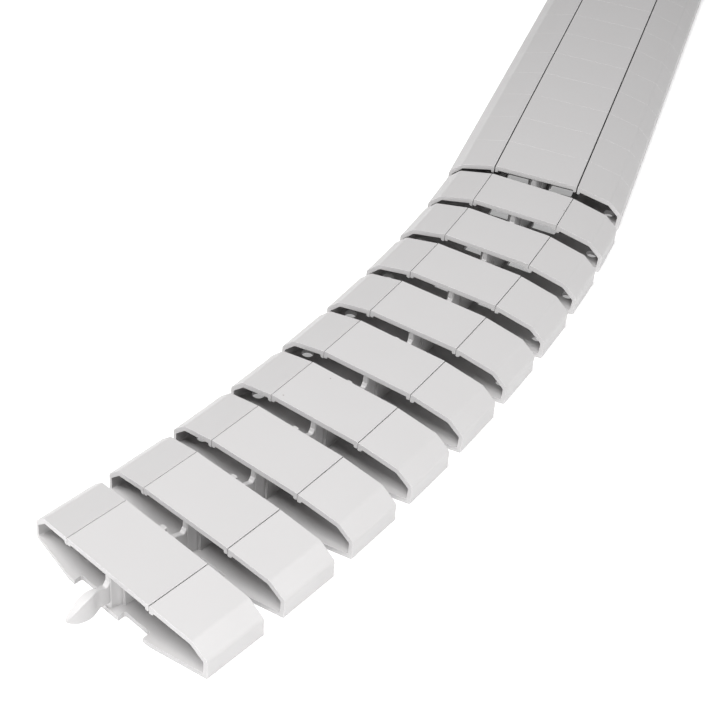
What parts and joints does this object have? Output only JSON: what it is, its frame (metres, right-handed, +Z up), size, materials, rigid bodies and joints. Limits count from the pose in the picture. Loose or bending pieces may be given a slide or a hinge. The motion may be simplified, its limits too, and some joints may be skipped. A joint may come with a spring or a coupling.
{
  "type": "flexible cable trunking",
  "caption": "Flexible floor trunking: low hollow plastic links with slit tops and swept wings, each tongue held in the next link's socket so the chain bends and stretches.",
  "frame": {"origin": "on the floor under the middle of link_10, the first link of the straight run", "axes": "+Y along the straight run away from the bend, +Z up, +X to the right when looking along +Y"},
  "size_m": [0.1488, 0.587, 0.02],
  "materials": {
    "grey_plastic": "fine satin, light warm grey"
  },
  "bodies": {
    "link_01": {"link_01": "grey_plastic"},
    "link_02": {"link_02": "grey_plastic"},
    "link_03": {"link_03": "grey_plastic"},
    "link_04": {"link_04": "grey_plastic"},
    "link_05": {"link_05": "grey_plastic"},
    "link_06": {"link_06": "grey_plastic"},
    "link_07": {"link_07": "grey_plastic"},
    "link_08": {"link_08": "grey_plastic"},
    "link_09": {"link_09": "grey_plastic"},
    "link_10": {"link_10": "grey_plastic"},
    "link_11": {"link_11": "grey_plastic"},
    "link_12": {"link_12": "grey_plastic"},
    "link_13": {"link_13": "grey_plastic"},
    "link_14": {"link_14": "grey_plastic"},
    "link_15": {"link_15": "grey_plastic"},
    "link_16": {"link_16": "grey_plastic"},
    "link_17": {"link_17": "grey_plastic"},
    "link_18": {"link_18": "grey_plastic"},
    "link_19": {"link_19": "grey_plastic"},
    "link_20": {"link_20": "grey_plastic"}
  },
  "joints": [
    {"name": "link_09_turn", "type": "hinge", "parent": "link_10", "child": "link_09", "pos_m": [-0.0005, -0.02495, 0.009], "axis": [0, 0, 1], "range_deg": [-2.7, 12.3]},
    {"name": "link_08_turn", "type": "hinge", "parent": "link_09", "child": "link_08", "pos_m": [-0.00331, -0.05843, 0.009], "axis": [0, 0, 1], "range_deg": [-4.2, 10.8]},
    {"name": "link_07_turn", "type": "hinge", "parent": "link_08", "child": "link_07", "pos_m": [-0.00805, -0.0917, 0.009], "axis": [0, 0, 1], "range_deg": [-5, 10]},
    {"name": "link_06_turn", "type": "hinge", "parent": "link_07", "child": "link_06", "pos_m": [-0.01423, -0.12472, 0.009], "axis": [0, 0, 1], "range_deg": [-5.5, 9.5]},
    {"name": "link_05_turn", "type": "hinge", "parent": "link_06", "child": "link_05", "pos_m": [-0.02156, -0.15751, 0.009], "axis": [0, 0, 1], "range_deg": [-5.4, 9.6]},
    {"name": "link_04_turn", "type": "hinge", "parent": "link_05", "child": "link_04", "pos_m": [-0.03008, -0.19001, 0.009], "axis": [0, 0, 1], "range_deg": [-5.6, 9.4]},
    {"name": "link_03_turn", "type": "hinge", "parent": "link_04", "child": "link_03", "pos_m": [-0.03968, -0.22221, 0.009], "axis": [0, 0, 1], "range_deg": [-5.4, 9.6]},
    {"name": "link_02_turn", "type": "hinge", "parent": "link_03", "child": "link_02", "pos_m": [-0.05045, -0.25404, 0.009], "axis": [0, 0, 1], "range_deg": [-5.1, 9.9]},
    {"name": "link_01_turn", "type": "hinge", "parent": "link_02", "child": "link_01", "pos_m": [-0.06255, -0.28539, 0.009], "axis": [0, 0, 1], "range_deg": [-5.8, 9.2]},
    {"name": "link_11_pull", "type": "slide", "parent": "link_10", "child": "link_11", "axis": [0, 1, 0], "range_m": [0, 0.0086]},
    {"name": "link_12_pull", "type": "slide", "parent": "link_11", "child": "link_12", "axis": [0, 1, 0], "range_m": [0, 0.0086]},
    {"name": "link_13_pull", "type": "slide", "parent": "link_12", "child": "link_13", "axis": [0, 1, 0], "range_m": [0, 0.0086]},
    {"name": "link_14_pull", "type": "slide", "parent": "link_13", "child": "link_14", "axis": [0, 1, 0], "range_m": [0, 0.0086]},
    {"name": "link_15_pull", "type": "slide", "parent": "link_14", "child": "link_15", "axis": [0, 1, 0], "range_m": [0, 0.0086]},
    {"name": "link_16_pull", "type": "slide", "parent": "link_15", "child": "link_16", "axis": [0, 1, 0], "range_m": [0, 0.0086]},
    {"name": "link_17_pull", "type": "slide", "parent": "link_16", "child": "link_17", "axis": [0, 1, 0], "range_m": [0, 0.0086]},
    {"name": "link_18_pull", "type": "slide", "parent": "link_17", "child": "link_18", "axis": [0, 1, 0], "range_m": [0, 0.0086]},
    {"name": "link_19_pull", "type": "slide", "parent": "link_18", "child": "link_19", "axis": [0, 1, 0], "range_m": [0, 0.0086]},
    {"name": "link_20_pull", "type": "slide", "parent": "link_19", "child": "link_20", "axis": [0, 1, 0], "range_m": [0, 0.0086]}
  ]
}
